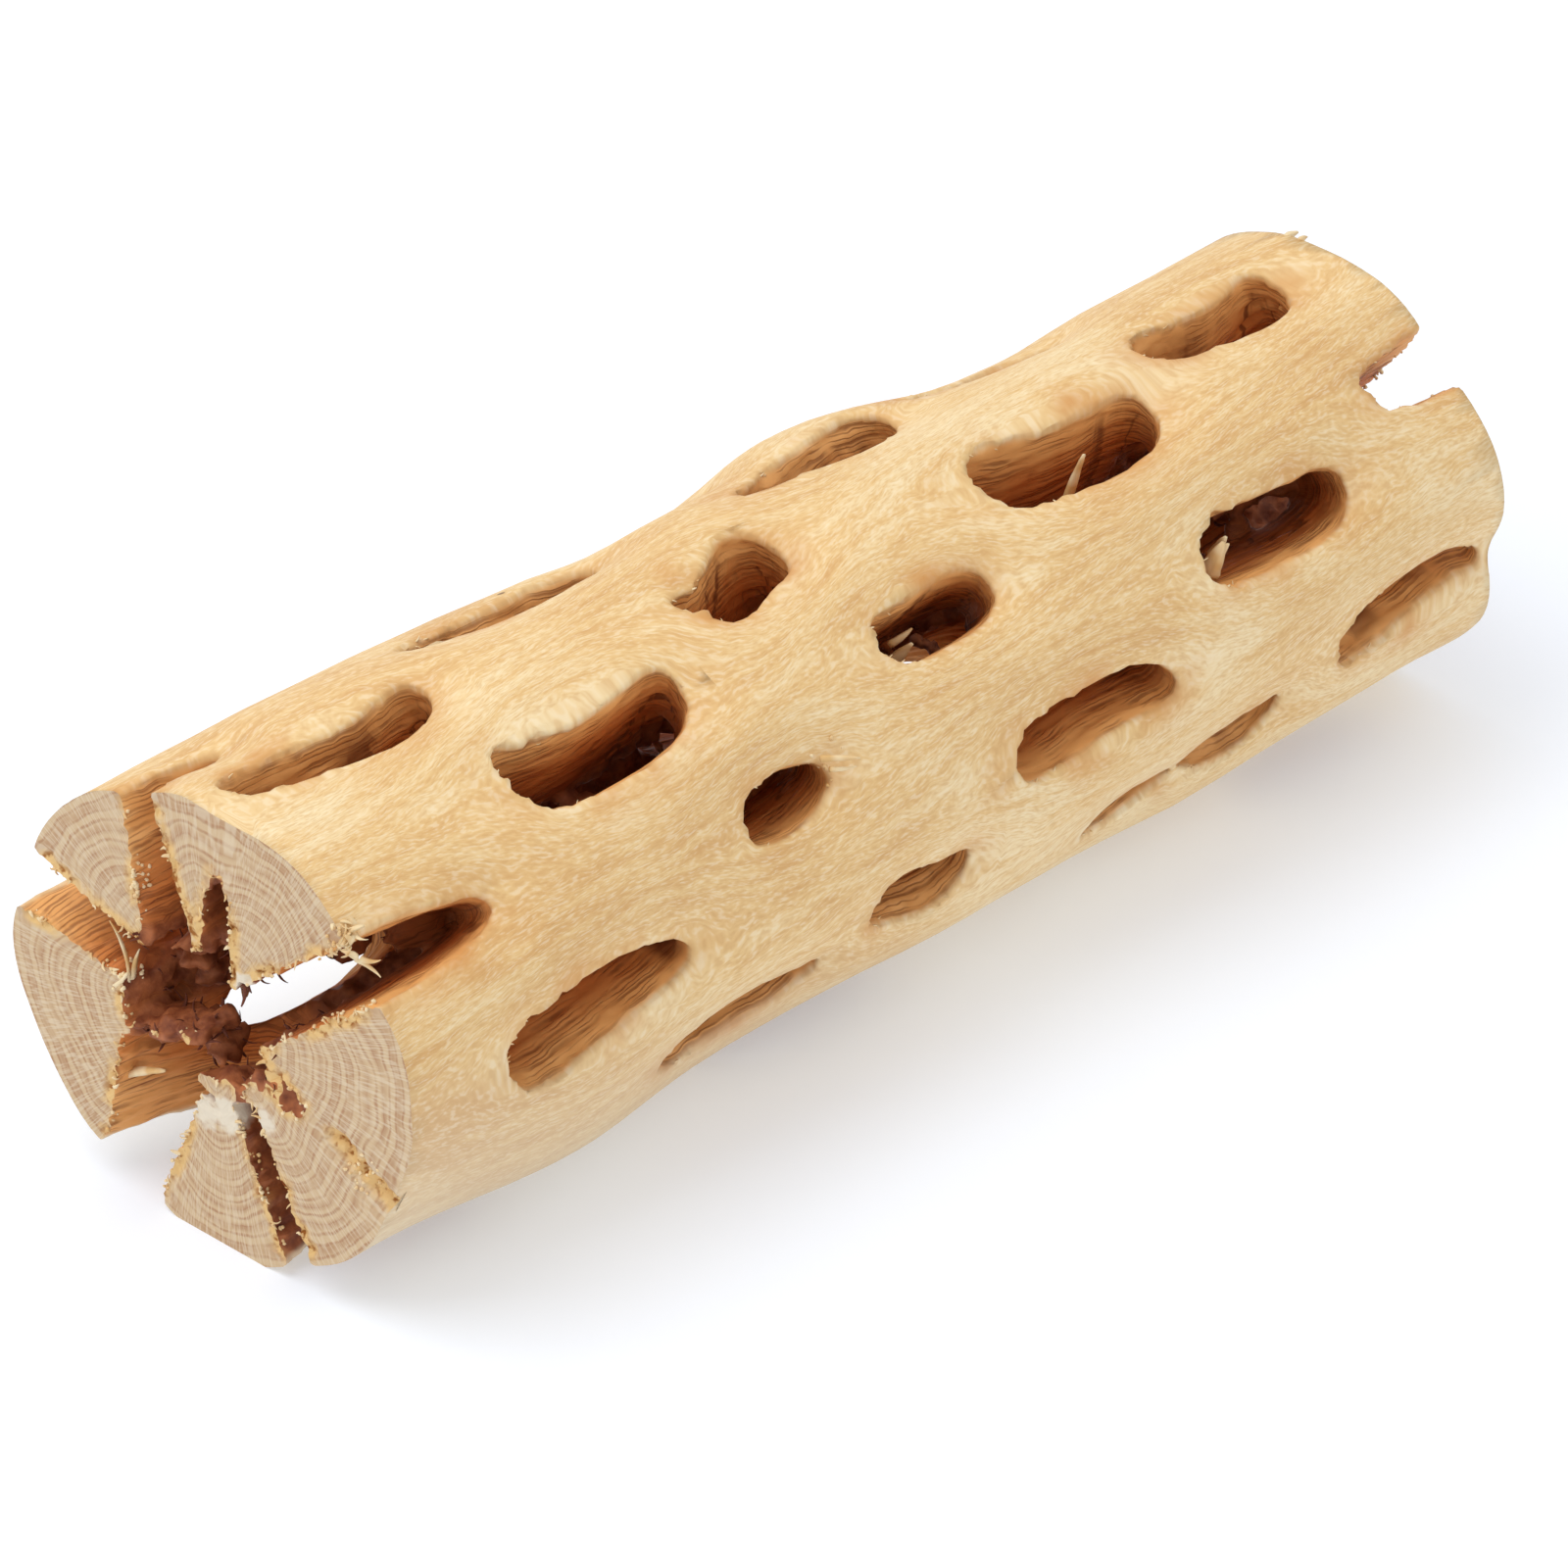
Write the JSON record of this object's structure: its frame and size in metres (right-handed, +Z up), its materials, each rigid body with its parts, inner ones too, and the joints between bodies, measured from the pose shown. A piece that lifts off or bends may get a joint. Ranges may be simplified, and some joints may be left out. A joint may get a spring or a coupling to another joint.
{
  "type": "driftwood log",
  "caption": "Hollow length of weathered cactus-skeleton wood with long rounded holes through its thick wall, sawn off at both ends and lying on its side.",
  "frame": {"origin": "middle of the bounding box in plan, at the surface the log lies on", "axes": "+X along the log from its thicker end to its thinner end, +Z up"},
  "size_m": [0.2034, 0.068, 0.0662],
  "materials": {
    "bare_wood": "bare dry wood, matte, pale straw with orange-brown hole walls and a dark brown core"
  },
  "bodies": {
    "root": {"driftwood_log": "bare_wood"}
  },
  "joints": []
}
